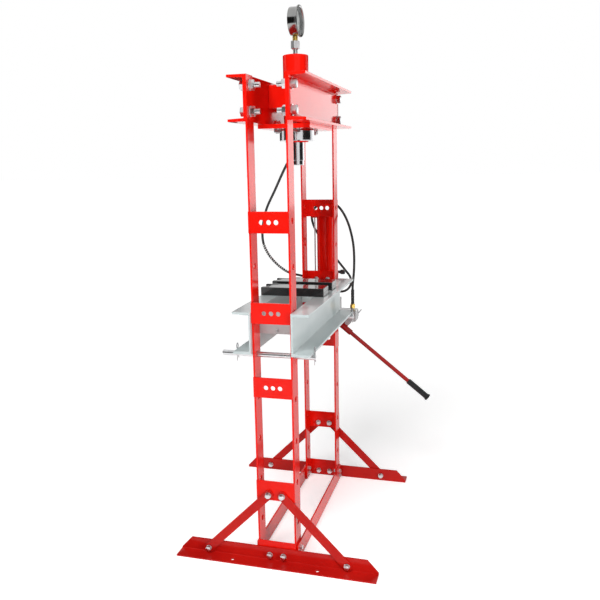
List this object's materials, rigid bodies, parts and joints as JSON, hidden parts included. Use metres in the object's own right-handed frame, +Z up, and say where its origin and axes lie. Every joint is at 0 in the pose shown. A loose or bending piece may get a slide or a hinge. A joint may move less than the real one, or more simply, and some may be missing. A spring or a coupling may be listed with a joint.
{
  "type": "hydraulic shop press",
  "caption": "H-frame hydraulic shop press: bolted steel frame, height-set bed with arbor plates, ram with pressure gauge, side hand pump and hose.",
  "frame": {"origin": "on the floor, under the middle of the press's overall box without its hose", "axes": "+Z up; +X from the plain side frame towards the side frame with the pump; -Y towards the operator, where the gauge faces and the pump lever points"},
  "size_m": [0.8533, 0.7926, 1.8559],
  "materials": {
    "red_paint": "gloss",
    "dark_red_paint": "gloss",
    "grey_paint": "gloss",
    "chrome": "polished",
    "zinc": "zinc plated",
    "brass": "machined",
    "gauge_steel": "polished",
    "gauge_glass": "clear",
    "black_paint": "satin",
    "black_steel": "gloss",
    "spring_wire": "drawn wire",
    "black_plastic": "moulded",
    "grip_rubber": "ribbed",
    "hose_rubber": "smooth",
    "guard_steel": "satin"
  },
  "bodies": {
    "frame": {"left_front_post": "red_paint", "left_rear_post": "red_paint", "right_front_post": "red_paint", "right_rear_post": "red_paint", "left_top_cross_plate": "red_paint", "left_upper_cross_plate": "red_paint", "left_middle_cross_plate": "red_paint", "left_lower_cross_plate": "red_paint", "left_foot_cross_plate": "red_paint", "right_top_cross_plate": "red_paint", "right_pump_cross_plate": "red_paint", "right_middle_cross_plate": "red_paint", "right_lower_cross_plate": "red_paint", "right_foot_cross_plate": "red_paint", "left_foot": "dark_red_paint", "right_foot": "dark_red_paint", "left_front_brace": "dark_red_paint", "left_rear_brace": "dark_red_paint", "right_front_brace": "dark_red_paint", "right_rear_brace": "dark_red_paint", "front_tie_bar": "red_paint", "rear_tie_bar": "red_paint", "front_top_beam": "red_paint", "rear_top_beam": "red_paint", "left_head_plate": "red_paint", "right_head_plate": "red_paint", "carrier_plate": "red_paint", "ram_barrel": "red_paint", "ring_nut": "chrome", "gauge_stem": "zinc", "gauge_fitting": "brass", "gauge_case": "gauge_steel", "gauge_glass": "gauge_glass", "pump_block": "zinc", "oil_tank": "red_paint", "filler_plug": "black_plastic", "pump_bracket": "red_paint", "pressure_hose": "hose_rubber", "hose_spring_guard": "guard_steel", "ram_hose_fitting": "brass", "pump_hose_fitting": "brass"},
    "ram": {"ram_piston": "chrome"},
    "pointer": {"gauge_pointer": "black_paint"},
    "bed": {"front_bed_channel": "grey_paint", "rear_bed_channel": "grey_paint", "left_bed_spreader": "grey_paint", "right_bed_spreader": "grey_paint"},
    "left_arbor": {"left_arbor_plate": "black_steel"},
    "right_arbor": {"right_arbor_plate": "black_steel"},
    "left_pin": {"left_bed_pin": "zinc"},
    "right_pin": {"right_bed_pin": "zinc"},
    "lever": {"lever_crank": "dark_red_paint", "lever_handle": "dark_red_paint", "lever_grip": "grip_rubber"},
    "plunger": {"pump_plunger": "chrome"},
    "valve": {"release_valve": "zinc"},
    "left_front_clip": {"left_front_clip": "spring_wire"},
    "left_rear_clip": {"left_rear_clip": "spring_wire"},
    "right_front_clip": {"right_front_clip": "spring_wire"},
    "right_rear_clip": {"right_rear_clip": "spring_wire"}
  },
  "joints": [
    {"name": "ram_slide", "type": "slide", "parent": "frame", "child": "ram", "axis": [0, 0, -1], "range_m": [0, 0.15], "stiffness_N_per_m": 400, "springref_m": -0.15},
    {"name": "pointer_turn", "type": "hinge", "parent": "frame", "child": "pointer", "pos_m": [-0.02615, 0.04628, 1.8039], "axis": [0, 1, 0], "range_deg": [0, 270], "stiffness_Nm_per_rad": 0.002, "springref_deg": -28.65},
    {"name": "bed_slide", "type": "slide", "parent": "frame", "child": "bed", "axis": [0, 0, 1], "range_m": [0, 0.27]},
    {"name": "left_arbor_slide", "type": "slide", "parent": "bed", "child": "left_arbor", "axis": [1, 0, 0], "range_m": [-0.21, 0.028]},
    {"name": "right_arbor_slide", "type": "slide", "parent": "bed", "child": "right_arbor", "axis": [1, 0, 0], "range_m": [-0.028, 0.135]},
    {"name": "left_pin_slide", "type": "slide", "parent": "frame", "child": "left_pin", "axis": [0, 1, 0], "range_m": [-0.001, 0.001]},
    {"name": "right_pin_slide", "type": "slide", "parent": "frame", "child": "right_pin", "axis": [0, 1, 0], "range_m": [-0.001, 0.001]},
    {"name": "lever_swing", "type": "hinge", "parent": "frame", "child": "lever", "pos_m": [0.37385, -0.04972, 0.674], "axis": [-1, 0, 0], "range_deg": [0, 48]},
    {"name": "plunger_slide", "type": "slide", "parent": "frame", "child": "plunger", "axis": [0, 0, -1], "range_m": [0, 0.0402]},
    {"name": "valve_turn", "type": "hinge", "parent": "frame", "child": "valve", "pos_m": [0.40585, -0.07772, 0.694], "axis": [1, 0, 0], "range_deg": [0, 180]},
    {"name": "left_front_clip_pull", "type": "slide", "parent": "left_pin", "child": "left_front_clip", "axis": [0, 0, 1], "range_m": [0, 0.045]},
    {"name": "left_rear_clip_pull", "type": "slide", "parent": "left_pin", "child": "left_rear_clip", "axis": [0, 0, 1], "range_m": [0, 0.045]},
    {"name": "right_front_clip_pull", "type": "slide", "parent": "right_pin", "child": "right_front_clip", "axis": [0, 0, 1], "range_m": [0, 0.045]},
    {"name": "right_rear_clip_pull", "type": "slide", "parent": "right_pin", "child": "right_rear_clip", "axis": [0, 0, 1], "range_m": [0, 0.045]}
  ],
  "couplings": [
    {"joint": "plunger_slide", "follows": "lever_swing", "m_per_rad": 0.04798}
  ]
}
